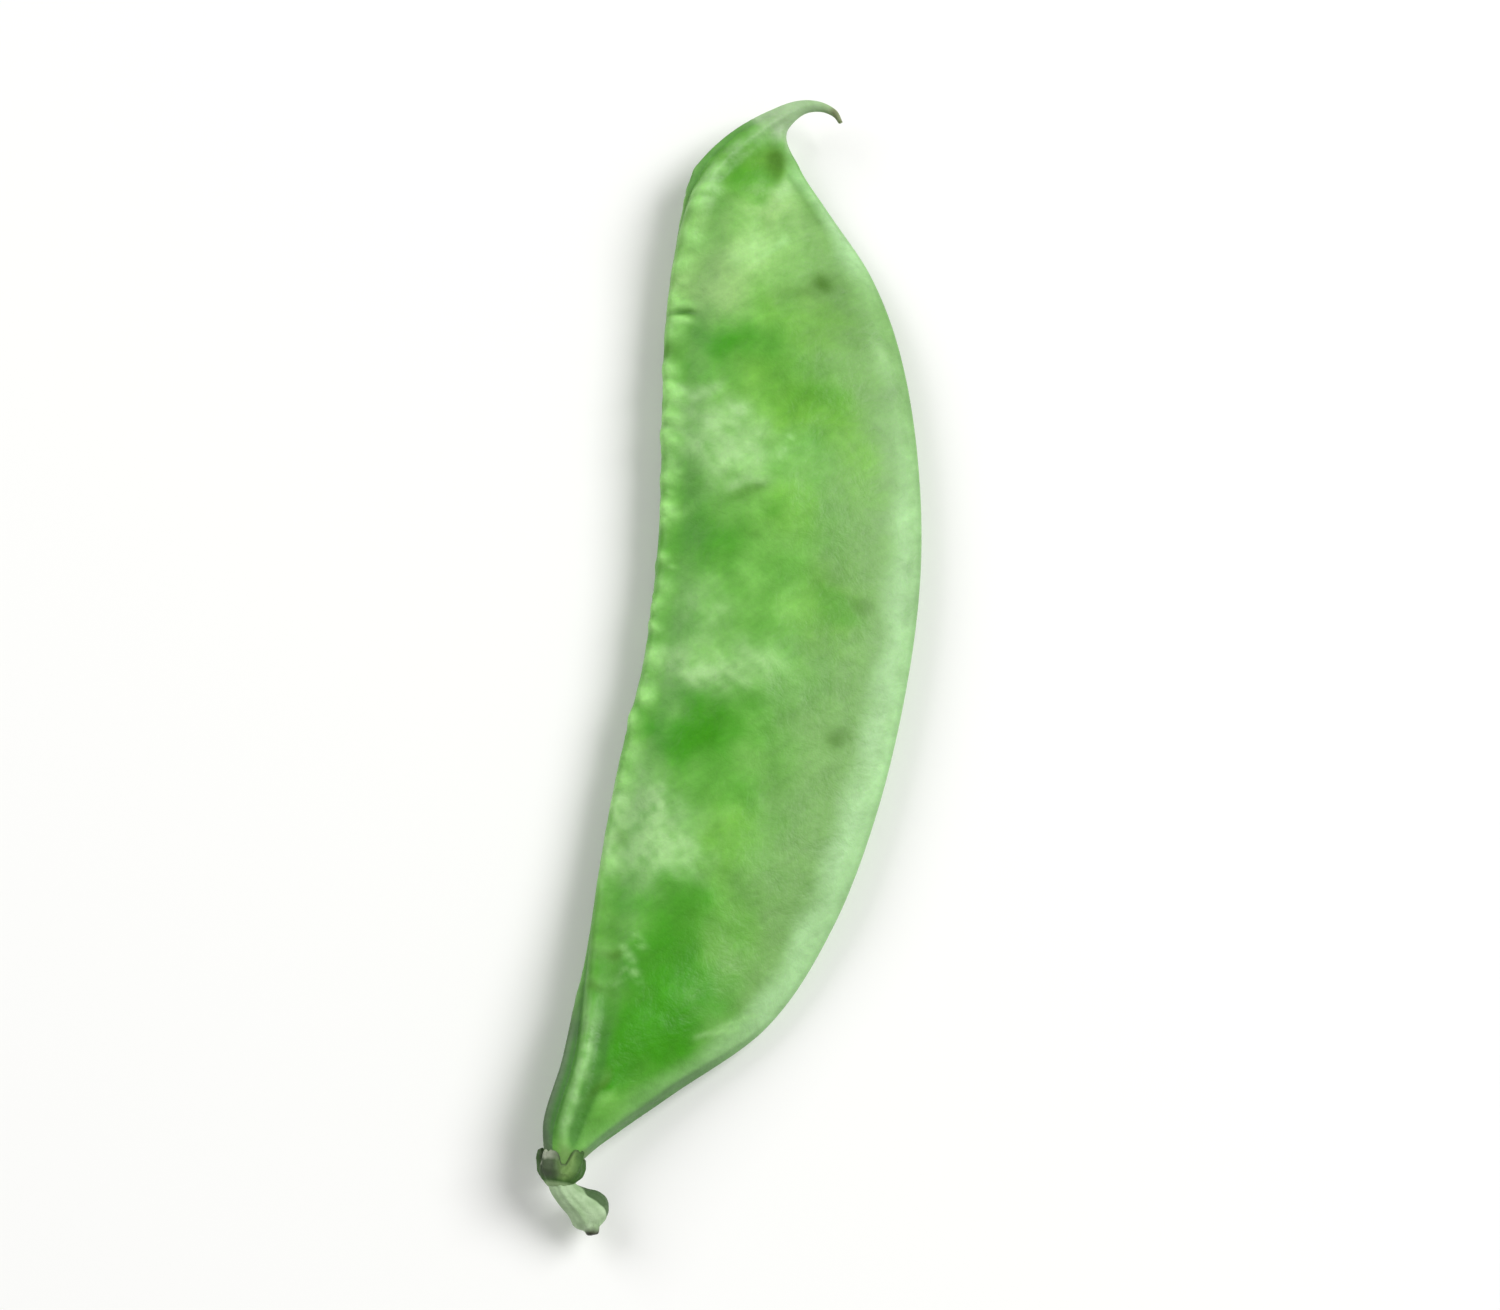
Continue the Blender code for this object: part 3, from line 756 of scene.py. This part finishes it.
def pod_marks(along, share, width, side, places, band):
    """How much of each mark the skin has at each point, from 0 to 1.

    band holds how far the painted highlight on the beads of the ventral band shows there, the painted
    shade of its groove and furrows, the ridges, the distance from the groove, and the side of the groove.
    """
    bead_highlight, groove, ridge, from_groove, groove_side = band
    from_edge = (1 - share) * width
    stem = 1 - ease(*STEM_END, along)
    beak = between(*BEAK_STRETCH, along)

    lower = lower_marks()
    stray_along = ruffled("stray_along", places)
    stray_across = ruffled("stray_across", places) / width
    marks = {}
    for kind, upper in UPPER_MARKS.items():
        stray = DARK_STRAY if kind == "dark" else 1.0
        there = (along + stray * stray_along, share + stray * stray_across, width)
        marks[kind] = np.where(side > 0, patches(upper, *there), patches(lower[kind], *there))
    # the painted highlight over the seeds, broken up by waves
    marks["light"] = np.clip(marks["light"] * (1 + ruffled("light", places)), 0, 1)
    # the bloom's tint is partly a painted satin sheen on the slope towards the dorsal seam
    marks["bloom_and_sheen"] = ease(*BLOOM_AND_SHEEN_ACROSS, share + stray_across) * between(*BLOOM_AND_SHEEN_STRETCH, along)

    # The cord's pale tone and painted highlight, narrower by the beak
    narrowed = CORD_NARROWS * ease(*CORD_NARROWS_OVER, along)
    pale_cord_and_highlight_width = CORD_PALE_AND_HIGHLIGHT_WIDTH + ruffled("pale_cord_and_highlight", places) - narrowed
    inner, outer = CORD_PALE_AND_HIGHLIGHT_EDGE
    pale_cord_and_highlight = 1 - ease(pale_cord_and_highlight_width - inner, pale_cord_and_highlight_width + outer, from_edge)
    marks["pale_cord_and_highlight"] = pale_cord_and_highlight * spline(CORD_PALE_AND_HIGHLIGHT, along)
    # painted shade: a thin dark line inside the cord by the beak, added to the dark tint
    place, reach, strength = CORD_SHADE
    cord_shade = strength * bump(from_edge - place, reach) * between(*CORD_SHADE_STRETCH, along)
    marks["dark"] = np.maximum(marks["dark"], cord_shade)
    # The edge's dark line, the seam's own dark tone with painted shade where the rim turns away, is
    # broader and darker by the stem
    seam_line_and_shade = bump(np.maximum(from_edge - 0.5 * stem, 0), 0.16 + 0.25 * stem)
    marks["edge"] = seam_line_and_shade * (0.25 + 0.75 * stem)

    # Painted shade in the band's groove and furrows, darkest by the stem, and a painted highlight on its
    # upper ridge at both ends
    # painted highlight on the tops of the warts and on the crease's lips
    marks["bead_highlight"] = np.clip(bead_highlight, 0, 1)
    marks["groove"] = np.clip(groove * (0.7 + 0.8 * stem - 0.3 * beak), 0, 1)
    # painted highlight on the upper ridge near both ends
    ridge_highlight = ridge * (0.85 + ruffled("ridge", places)) * np.maximum(stem, beak)
    marks["ridge"] = np.clip(ridge_highlight, 0, 1) * (groove_side > 0)
    # painted shade on the outer strip below the groove, by the stem and by the beak
    strip_shade = (groove_side < 0) * (1 - ease(*OUTER_STRIP_SHADE, from_groove))
    marks["below"] = strip_shade * stem
    marks["beak_strip_shade"] = strip_shade * beak

    marks["dry"] = ease(*DRY_START, along + ruffled("dry", places))
    marks["tip"] = ease(*TIP_START, along + ruffled("tip", places))
    marks["neck"] = 1 - ease(*NECK_END, along + ruffled("neck", places))
    scuffed = np.clip(0.75 + ruffled("scratch", places), 0, 1)
    marks["scratch"] = scratched(along, share * width, width) * scuffed * (side > 0)
    marks["along"] = along
    marks["across"] = share * width
    return marks


def outline(along):
    """The ventral seam's points, the way from there to the dorsal seam, and the width between."""
    ventral, dorsal = (np.stack([spline(knots, along) for knots in seam], -1) for seam in SEAMS)
    slim = STYLE_SLIM * ease(*STYLE_SLIM_START, along)
    dorsal = dorsal + (ventral - dorsal) * slim[..., None]
    width = np.linalg.norm(dorsal - ventral, axis=-1)
    return ventral, (dorsal - ventral) / width[..., None], width


def row_angles(crest):
    """The angle of every point round its section, from the ventral seam over the upper valve."""
    band = crest * np.linspace(0.0, BAND_ROWS_REACH, BAND_ROWS)
    rim = np.repeat(math.pi - np.linspace(RIM_ROWS_REACH, 0.0, RIM_ROWS)[None], RINGS, axis=0)
    inner = np.linspace(0.0, 1.0, VALVE_ROWS + 2)[None, 1:-1]
    valve = band[:, -1:] + (rim[:, :1] - band[:, -1:]) * inner
    upper = np.hstack([band, valve, rim])
    return np.hstack([upper, -upper[:, -2:0:-1]])


def crease_and_lips(along, across, side):
    """The crease by the beak and its two lips, each from 0 to 1."""
    inwards = across - CREASE_ACROSS
    from_crease = along - CREASE_ALONG - CREASE_LEAN * inwards + CREASE_CURVE * inwards**2
    there = bump(inwards, CREASE_REACH_ACROSS) * (side > 0)
    lips = bump(np.abs(from_crease) - CREASE_LIP, CREASE_LIP_REACH)
    return bump(from_crease, CREASE_REACH_ALONG) * there, lips * there


def pod_skin():
    """Rings of points of the pod's skin, the same without its fine relief, and its marks."""
    along = np.linspace(0.0, MIDDLE_LENGTH, RINGS)[:, None]
    half = spline(HALF_THICKNESS, along)
    ventral, across_way, width = outline(along)
    crest = crest_angle(half, width)
    angle = row_angles(crest)
    side = np.where(angle > 0, 1, -1)
    stretch_there = np.hypot(width / 2 * np.sin(crest), half * np.cos(crest))
    turn = np.clip(spline(SEAM_TURN, along), 0.0, None)
    from_groove = angle - np.minimum(turn / stretch_there, MOST_SEAM_TURN * crest)
    turned = np.abs(from_groove)
    groove_side = np.where(from_groove > 0, 1, -1)
    crest = crest * (1 - (1 - RIDGES_CLOSE) * np.minimum(turn, 1.0))

    across = width / 2 * (1 - np.cos(angle))
    share = across / width
    height = half * np.sin(angle) * (1 + VENTRAL_FULLNESS * np.cos(angle))
    height = height + side * swelling(along, across, width) * np.abs(np.sin(angle))
    normal = np.stack([-np.cos(angle) * half, np.sin(angle) * width / 2], -1)
    normal = normal / np.linalg.norm(normal, axis=-1, keepdims=True)

    strength = between(BAND_START, BAND_END, along) * np.minimum(half / BAND_THIN, 1.0)
    groove = bump(turned, RIDGE_SPREAD * crest) * strength
    furrow = bump(turned - FURROW_PLACE * crest, FURROW_SPREAD * crest) * strength
    ridge = bump(turned - crest, RIDGE_SPREAD * crest) * strength
    coarse = RIDGE_HEIGHT * ridge - GROOVE_DEPTH * groove - FURROW_DEPTH * furrow
    coarse = coarse + strength * DORSAL_RIM_HEIGHT * bump(math.pi - np.abs(angle), DORSAL_RIM_SPREAD)

    x = ventral[..., 0] + across_way[..., 0] * across
    y = ventral[..., 1] + across_way[..., 1] * across
    places = (x, y, height + VALVES_APART * side)
    meander = MEANDER * waves(along, RIDGES_APART * groove_side, 0.0, MEANDER_LENGTH, MEANDER_SEED)
    from_crest = (turned - crest) * stretch_there - meander
    knobs = warts(along, from_crest, groove_side)
    crease, lips = crease_and_lips(along, across, side)
    fine = knobs - CREASE_DEPTH * crease + CREASE_LIP_HEIGHT * lips
    fade = np.sin(angle) ** 2 * between(*SWELLS_STRETCH, along)
    for number, (length, size) in enumerate(SWELLS):
        fine = fine + size * fade * waves(*places, length, SWELL_SEED + number)
    cord_furrow = bump((1 - share) * width - CORD_WIDTH, CORD_FURROW_REACH)
    fine = fine - CORD_FURROW_DEPTH * between(*CORD_FURROW_STRETCH, along) * cord_furrow

    def placed(out):
        """Skin points with this much relief, in the pod's own frame."""
        aside = across + out * normal[..., 0] - width / 2
        up = height + out * normal[..., 1]
        twist = TWIST_AT_NECK * (1 - ease(0.0, TWIST_REACH, along))
        twist = twist + TWIST_AT_BEAK * ease(*BEAK_TWIST, along)
        shift = width / 2 + aside * np.cos(twist) + up * np.sin(twist)
        flat = ventral + across_way * shift[..., None]
        lift = NECK_LIFT * (1 - ease(0.0, LIFT_REACH, along))
        lift = lift + BEAK_LIFT * ease(MIDDLE_LENGTH - LIFT_REACH, MIDDLE_LENGTH, along)
        raised = up * np.cos(twist) - aside * np.sin(twist) + lift
        return np.concatenate([flat, raised[..., None]], -1)

    # Painted shade for the groove and furrows, and a painted highlight for the warts' tops and the
    # crease's lips
    furrow_shade = FURROW_SHADE + STEM_FURROW_SHADE * (1 - ease(*STEM_FURROW_END, along))
    shade = groove + furrow_shade * furrow
    band = (knobs / WART_FULL_HIGHLIGHT + lips, shade, ridge, turned * stretch_there, groove_side)
    marks = pod_marks(along, share, width, side, places, band)
    # painted shade in the crease
    marks["crease"] = np.clip(crease, 0, 1)
    marks = {name: np.broadcast_to(value, angle.shape) for name, value in marks.items()}
    return placed(coarse + fine), placed(coarse), marks


def closed_skin(name, points, marks):
    """A mesh object from rings of points: a UV sphere whose rings are moved there."""
    rings, sides = points.shape[:2]
    spans = rings + 1
    bm = bmesh.new()
    bmesh.ops.create_uvsphere(bm, u_segments=sides, v_segments=spans, radius=1.0)
    mesh = bpy.data.meshes.new(name)
    bm.to_mesh(mesh)
    bm.free()
    sphere = np.empty(len(mesh.vertices) * 3, np.float32)
    mesh.vertices.foreach_get("co", sphere)
    sphere = sphere.reshape(-1, 3).astype(float)
    ring = np.rint(np.arccos(np.clip(-sphere[:, 2], -1, 1)) / math.pi * spans).astype(int) - 1
    index = np.rint(np.arctan2(sphere[:, 1], sphere[:, 0]) / math.tau * sides).astype(int) % sides
    inside = np.clip(ring, 0, rings - 1)
    pole = (ring < 0) | (ring >= rings)
    place = np.where(pole[:, None], points.mean(1)[inside], points[inside, index])
    mesh.vertices.foreach_set("co", (place * MM).astype(np.float32).ravel())
    for mark, values in marks.items():
        layer = mesh.attributes.new(mark, "FLOAT", "POINT")
        layer.data.foreach_set("value", values[inside, index].astype(np.float32))
    mesh.update()
    return finished(name, mesh)


def finished(name, mesh):
    """An object from a closed mesh, with its faces out and smooth."""
    bm = bmesh.new()
    bm.from_mesh(mesh)
    bmesh.ops.recalc_face_normals(bm, faces=bm.faces)
    if bm.calc_volume(signed=True) < 0:
        bmesh.ops.reverse_faces(bm, faces=bm.faces)
    bm.to_mesh(mesh)
    bm.free()
    mesh.shade_smooth()
    piece = bpy.data.objects.new(name, mesh)
    bpy.context.scene.collection.objects.link(piece)
    return piece


def linear(hex_colour):
    """An sRGB colour, such as 4f9a2c, as linear red, green, blue and 1."""
    values = [int(hex_colour[i : i + 2], 16) / 255 for i in (0, 2, 4)]
    return [v / 12.92 if v <= 0.04045 else ((v + 0.055) / 1.055) ** 2.4 for v in values] + [1.0]


def join(tree, made, inputs):
    """Sets or links the inputs of a node, by name or number."""
    for key, value in inputs.items():
        if isinstance(value, bpy.types.NodeSocket):
            tree.links.new(value, made.inputs[key])
        else:
            made.inputs[key].default_value = value


def node(tree, kind, inputs=None, give=0, **settings):
    """Adds a node with these inputs and settings, and gives one of its outputs, by name or number."""
    made = tree.nodes.new(kind)
    for key, value in settings.items():
        setattr(made, key, value)
    join(tree, made, inputs or {})
    return made.outputs[give]


def new_material(name, noises=None):
    """A new material, its nodes, its Principled shader, and its noises by name.

    Each noise is given by the size of its blotches in mm, its detail, roughness and distortion.
    """
    material = bpy.data.materials.new(name)
    material.use_nodes = True
    tree = material.node_tree
    made = {}
    for noise, (size, detail, roughness, distortion) in (noises or {}).items():
        inputs = {
            "Vector": node(tree, "ShaderNodeTexCoord", give="Object"),
            "Scale": 1.0 / (size * MM * 2),
            "Detail": detail,
            "Roughness": roughness,
            "Distortion": distortion,
        }
        made[noise] = node(tree, "ShaderNodeTexNoise", inputs, give="Fac")
    return material, tree, tree.nodes["Principled BSDF"], made


def skin_colour(tree, noise, base, layers, tints, tint_edge):
    """The colour of a skin: layers over its base where their noise says so, then the marks' tints."""
    colour = linear(base)
    for name, start, full, most, albedo in layers:
        amount = node(tree, "ShaderNodeMapRange", {0: noise[name], 1: start, 2: full, 4: most})
        colour = node(tree, "ShaderNodeMix", {0: amount, 6: colour, 7: linear(albedo)}, **COLOUR_MIX)
    ragged = node(tree, "ShaderNodeMapRange", {0: noise["patchy"], **NOISE_RANGE, 3: -1.0, 4: 1.0})
    start, full = tint_edge
    for name, albedo, most, raggedness in tints:
        mark = node(tree, "ShaderNodeAttribute", give="Fac", attribute_name=name)
        uneven = node(tree, "ShaderNodeMath", {0: ragged, 1: raggedness, 2: 1.0}, **MULTIPLY_ADD)
        amount = node(tree, "ShaderNodeMath", {0: uneven, 1: mark}, operation="MULTIPLY")
        amount = node(tree, "ShaderNodeMapRange", {0: amount, 1: start, 2: full, 4: most})
        colour = node(tree, "ShaderNodeMix", {0: amount, 6: colour, 7: linear(albedo)}, **COLOUR_MIX)
    return colour


def pod_material():
    """Fresh bean skin: a satin wax cuticle over green flesh, paler where rubbed, with painted highlights
    and painted shade among its tints.
    """
    material, tree, shader, noise = new_material("waxy_green_bean_skin", POD_NOISES)
    along = node(tree, "ShaderNodeAttribute", give="Fac", attribute_name="along")
    across = node(tree, "ShaderNodeAttribute", give="Fac", attribute_name="across")
    dark = node(tree, "ShaderNodeAttribute", give="Fac", attribute_name="dark")
    leaning = node(tree, "ShaderNodeMath", {0: across, 1: VEIN_LEAN, 2: along}, **MULTIPLY_ADD)
    crossing = node(tree, "ShaderNodeMath", {0: along, 1: VEIN_SKEW, 2: across}, **MULTIPLY_ADD)
    drawn_out = node(tree, "ShaderNodeMath", {0: crossing, 1: VEIN_STRETCH}, operation="MULTIPLY")
    where = node(tree, "ShaderNodeCombineXYZ", {"X": drawn_out, "Y": leaning})
    vein_inputs = {"Vector": where, "Scale": VEIN_SCALE, "Detail": 3.0, "Roughness": 0.6}
    noise["veins"] = node(tree, "ShaderNodeTexNoise", vein_inputs, give="Fac")

    colour = skin_colour(tree, noise, POD_BASE, POD_LAYERS, POD_TINTS, POD_TINT_EDGE)
    shade = 1.0
    for name, least, most in POD_SHADES:
        factor = node(tree, "ShaderNodeMapRange", {0: noise[name], **NOISE_RANGE, 3: least, 4: most})
        shade = node(tree, "ShaderNodeMath", {0: shade, 1: factor}, operation="MULTIPLY")
    grey = node(tree, "ShaderNodeCombineColor", {0: shade, 1: shade, 2: shade})
    colour = node(tree, "ShaderNodeMix", {0: 1.0, 6: colour, 7: grey}, **COLOUR_MIX, blend_type="MULTIPLY")

    bump_inputs = {"Strength": 0.3, "Distance": 0.00012, "Height": noise["grain"]}
    bumps = node(tree, "ShaderNodeBump", bump_inputs)
    ripple_inputs = {"Strength": 0.5, "Distance": 0.0003, "Height": noise["patchy"], "Normal": bumps}
    satin = node(tree, "ShaderNodeMapRange", {0: noise["patchy"], **NOISE_RANGE, 3: 0.36, 4: 0.50})
    shader_inputs = {
        "Base Color": colour,
        "Roughness": node(tree, "ShaderNodeMath", {0: dark, 1: 0.35, 2: satin}, **MULTIPLY_ADD),
        "Normal": node(tree, "ShaderNodeBump", ripple_inputs),
        "IOR": 1.42,
        "Specular IOR Level": 0.32,
        "Subsurface Weight": 0.10,
        "Subsurface Radius": (0.5, 1.0, 0.25),
        "Subsurface Scale": 0.0010,
    }
    join(tree, shader, shader_inputs)
    return material


def matt_material(name, noises, base, layers, tints, roughness):
    """A matt, finely rough skin, as on the calyx and the stalk."""
    material, tree, shader, noise = new_material(name, noises)
    bump_inputs = {"Strength": 0.6, "Distance": 0.00015, "Height": noise["fine"]}
    shader_inputs = {
        "Base Color": skin_colour(tree, noise, base, layers, tints, MATT_TINT_EDGE),
        "Normal": node(tree, "ShaderNodeBump", bump_inputs),
        "Roughness": roughness,
        "Specular IOR Level": 0.3,
    }
    join(tree, shader, shader_inputs)
    return material


def calyx_material():
    """Withering sepals: matt, dark green, olive where they part, brown where they dried, with a painted
    highlight on the dry lobe.
    """
    tables = (CALYX_NOISES, CALYX_BASE, CALYX_LAYERS, CALYX_TINTS)
    return matt_material("withering_sepal", *tables, roughness=0.65)


def stalk_material():
    """Fibrous green stalk: matt and greyish, with painted shade along the upper side of its swollen end,
    and dark at its scar.
    """
    tables = (STALK_NOISES, STALK_BASE, STALK_LAYERS, STALK_TINTS)
    return matt_material("fibrous_stalk", *tables, roughness=0.6)


def neck_frame(foot):
    """Turns the calyx and the stalk from their own axis, +Y, to the foot of the neck."""
    tilt = Matrix.Rotation(CALYX_TILT, 4, "Z")
    return Matrix.Translation(foot) @ tilt @ Matrix.Rotation(TWIST_AT_NECK, 4, "Y")


def make_calyx(neck, shift):
    """The cup of sepals: a turned section whose rim is drawn out into withered lobes."""
    bm = bmesh.new()
    verts = [bm.verts.new((x, y, 0.0)) for x, y in CALYX_SECTION]
    edges = [bm.edges.new(pair) for pair in zip(verts, verts[1:])]
    bmesh.ops.subdivide_edges(bm, edges=edges, cuts=CALYX_CUTS, smooth=0.0)
    bmesh.ops.spin(
        bm,
        geom=list(bm.verts) + list(bm.edges),
        cent=(0.0, 0.0, 0.0),
        axis=(0.0, 1.0, 0.0),
        angle=math.tau,
        steps=CALYX_SIDES,
        use_merge=True,
        use_duplicate=False,
    )
    bmesh.ops.remove_doubles(bm, verts=bm.verts, dist=0.001)
    count = len(LOBE_RISES)
    marks = {name: bm.verts.layers.float.new(name) for name in ("dry", "olive", "pale", "grey")}
    for vert in bm.verts:
        x, y, z = vert.co
        angle = math.atan2(z, x)
        off_dry = math.remainder(angle - DRY_LOBE, math.tau)
        off_olive = math.remainder(angle - OLIVE_NOTCH, math.tau)
        wall = ease(*WALL_LEVELS, y)
        vert[marks["dry"]] = bump(off_dry, DRY_REACH) * wall + DRY_RIM * ease(*DRY_RIM_LEVELS, y)
        vert[marks["olive"]] = bump(off_olive, OLIVE_REACH) * wall
        vert[marks["pale"]] = 1 - ease(*PALE_LEVELS, y)
        # painted highlight on the dry lobe
        vert[marks["grey"]] = bump(off_dry, DRY_LOBE_HIGHLIGHT_REACH) * ease(*DRY_LOBE_HIGHLIGHT_LEVELS, y)

        turn = (angle - LOBE_TURN) / math.tau * count
        number = round(turn) % count
        notch = LOBE_NOTCHES[math.floor(turn) % count]
        lobe = ease(*LOBE_BLUNT, 0.5 + 0.5 * math.cos(math.tau * turn))
        torn = sum(height * math.sin(ripples * angle + phase) for height, ripples, phase in TORN_RIM)
        wrinkle = math.sin(WRINKLE_COUNT * angle + WRINKLE_LEAN * y)
        wrinkle += waves(x, y, z, WRINKLE_LENGTH, WRINKLE_SEED)
        bulge = LOBE_BULGES[number] * lobe - NOTCH_DENT * (1 - lobe)
        spread = 1 + (WRINKLE_HEIGHT * wrinkle + bulge) * ease(*BULGE_LEVELS, y)
        vert.co.x *= spread
        vert.co.z *= spread * (1 - LOBE_HUG * ease(*HUG_LEVELS, y))
        rise = LOBE_RISES[number] * lobe - notch * (1 - lobe) + torn
        vert.co.y += rise * ease(*LOBE_LEVELS, y)
    bmesh.ops.transform(bm, matrix=Matrix.Translation(shift) @ neck, verts=bm.verts)
    bmesh.ops.scale(bm, verts=bm.verts, vec=(MM, MM, MM))
    mesh = bpy.data.meshes.new("calyx_cup")
    bm.to_mesh(mesh)
    bm.free()
    return finished("calyx_cup", mesh)


def make_stalk(neck, shift):
    """The stub of stalk: a swept round that swells to its broken end."""
    knots = [[(i, value[axis]) for i, (value, _) in enumerate(STALK)] for axis in range(3)]
    radii = [(i, radius) for i, (_, radius) in enumerate(STALK)]
    last = len(STALK) - 1.0
    body = STALK_RINGS - 2 * STALK_END_RINGS
    where = np.pad(np.linspace(0, last, body), STALK_END_RINGS, mode="edge")
    turn = np.linspace(0.0, math.pi / 2, STALK_END_RINGS + 2)[1:-1]
    fill = np.concatenate([np.sin(turn), np.ones(body), np.sin(turn[::-1])])
    beyond = np.concatenate([np.zeros(STALK_END_RINGS + body), np.cos(turn[::-1])])
    centres = np.stack([spline(k, where) for k in knots], -1)
    ahead = np.stack([spline(k, np.clip(where + STALK_STEP, 0, last)) for k in knots], -1)
    behind = np.stack([spline(k, np.clip(where - STALK_STEP, 0, last)) for k in knots], -1)
    way = ahead - behind
    way /= np.linalg.norm(way, axis=1, keepdims=True)
    sideways = np.cross(way, np.array([0.0, 0.0, 1.0]))
    sideways /= np.linalg.norm(sideways, axis=1, keepdims=True)
    upright = np.cross(sideways, way)
    angle = np.linspace(0, math.tau, STALK_SIDES, endpoint=False)[None]
    ribs = 0.0
    for height, count, twist in STALK_RIBS:
        ribs = ribs + height * np.sin(count * angle + twist * where[:, None])
    radius = spline(radii, where)[:, None] * fill[:, None] * (1 + ribs)
    outwards = np.cos(angle)[..., None] * sideways[:, None]
    outwards = outwards + np.sin(angle)[..., None] * upright[:, None]
    points = centres[:, None] + radius[..., None] * outwards
    points = points + ((STALK_END_LENGTH * beyond)[:, None] * way)[:, None]

    from_scar = np.linalg.norm((points - np.array(SCAR)) * SCAR_SHAPE, axis=-1)
    ragged = waves(*np.moveaxis(points, -1, 0), SCAR_RAGGED_LENGTH, SCAR_SEED)
    from_scar = from_scar + SCAR_RAGGED * ragged
    scar = 1 - ease(*SCAR_REACH, from_scar)
    pit = bump(from_scar, SCAR_REACH[0] / 2)
    outward = np.array(SCAR - KNOB) / (SCAR - KNOB).length
    points = points + (SCAR_HEIGHT * scar - SCAR_DEPTH * pit)[..., None] * outward

    matrix = np.array(Matrix.Translation(shift) @ neck)
    points = points @ matrix[:3, :3].T + matrix[:3, 3]
    from_knob = points - (matrix[:3, :3] @ np.array(KNOB) + matrix[:3, 3])
    flat = np.hypot(from_knob[..., 0], from_knob[..., 1])
    facing = (KNOB_SHADE_WAY[0] * from_knob[..., 0] + KNOB_SHADE_WAY[1] * from_knob[..., 1]) / flat
    top = KNOB_SHADE_TOP + KNOB_SHADE_TOP_RISE * ease(*KNOB_SHADE_MIDDLE, facing)
    below_top = 1 - ease(top - KNOB_SHADE_SOFT, top, from_knob[..., 2])
    # painted shade along the upper side of the swollen end
    knob_shade = ease(*KNOB_SHADE_ROUND, facing) * below_top * ease(*KNOB_SHADE_ALONG, where)[:, None]
    return closed_skin("stalk_stub", points, {"knob_shade": knob_shade, "scar": scar})


def add_light(name, place, target, size, power):
    """A square soft box that faces a point."""
    lamp = bpy.data.lights.new(name, "AREA")
    lamp.shape = "SQUARE"
    lamp.size = size
    lamp.energy = power
    light = bpy.data.objects.new(name, lamp)
    light.location = place
    light.rotation_euler = (Vector(target) - Vector(place)).to_track_quat("-Z", "Y").to_euler()
    bpy.context.scene.collection.objects.link(light)


def make_setting(middle):
    """Floor, light and camera."""
    bm = bmesh.new()
    bmesh.ops.create_grid(bm, x_segments=1, y_segments=1, size=FLOOR_REACH)
    mesh = bpy.data.meshes.new("floor")
    bm.to_mesh(mesh)
    bm.free()
    floor = bpy.data.objects.new("floor", mesh)
    bpy.context.scene.collection.objects.link(floor)
    material, tree, shader, _ = new_material("white_paper")
    join(tree, shader, {"Base Color": linear("f4f4f2"), "Roughness": 0.9})
    mesh.materials.append(material)

    world = bpy.data.worlds.new("studio")
    world.use_nodes = True
    background = world.node_tree.nodes["Background"]
    background.inputs["Color"].default_value = (1.0, 1.0, 1.0, 1.0)
    background.inputs["Strength"].default_value = SKY_STRENGTH
    bpy.context.scene.world = world
    for name, place, size, power in SOFT_BOXES:
        add_light(name, place, middle, size, power)

    up = Vector((-math.sin(CAMERA_TURN), math.cos(CAMERA_TURN), 0.0))
    low, high = (Vector(corner) for corner in cad_bounds)
    reach = (high - low).y * math.cos(CAMERA_TURN) * math.sin(CAMERA_ELEVATION)
    data = bpy.data.cameras.new("camera")
    data.lens = LENS
    picture = reach / POD_SHARE * IMAGE_SIZE[0] / IMAGE_SIZE[1]
    distance = picture * LENS / data.sensor_width
    camera = bpy.data.objects.new("camera", data)
    back = -up * math.cos(CAMERA_ELEVATION) + Vector((0, 0, 1)) * math.sin(CAMERA_ELEVATION)
    right = up.cross(back).normalized()
    turned = Matrix((right, back.cross(right), back)).transposed().to_4x4()
    camera.matrix_world = Matrix.Translation(Vector(middle) + back * distance) @ turned
    bpy.context.scene.collection.objects.link(camera)
    bpy.context.scene.camera = camera
    bpy.context.scene.view_settings.view_transform = "Standard"


def main():
    points, plain, marks = pod_skin()
    floor = plain[..., 2].min() + FLAT_SPOT_DEPTH
    points[..., 2] = np.maximum(points[..., 2], floor)
    low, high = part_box("pod")
    middle = (low + high) / 2
    own = (plain.reshape(-1, 3).min(0) + plain.reshape(-1, 3).max(0)) / 2
    shift = Vector((middle.x / MM - own[0], middle.y / MM - own[1], -floor))
    neck = neck_frame(Vector(plain[0].mean(0)))

    pod = closed_skin("pod_skin", points + np.array(shift), marks)
    calyx = make_calyx(neck, shift)
    stalk = make_stalk(neck, shift)
    for piece, solid, finish, material in (
        (pod, "pod", "pod_skin", pod_material()),
        (calyx, "calyx", "calyx_skin", calyx_material()),
        (stalk, "pedicel", "stalk_skin", stalk_material()),
    ):
        piece.data.materials.append(material)
        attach(piece, "root")
        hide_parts(solid)
    make_setting(Vector((middle.x, middle.y, 0.0)) + CAMERA_AIM)


main()
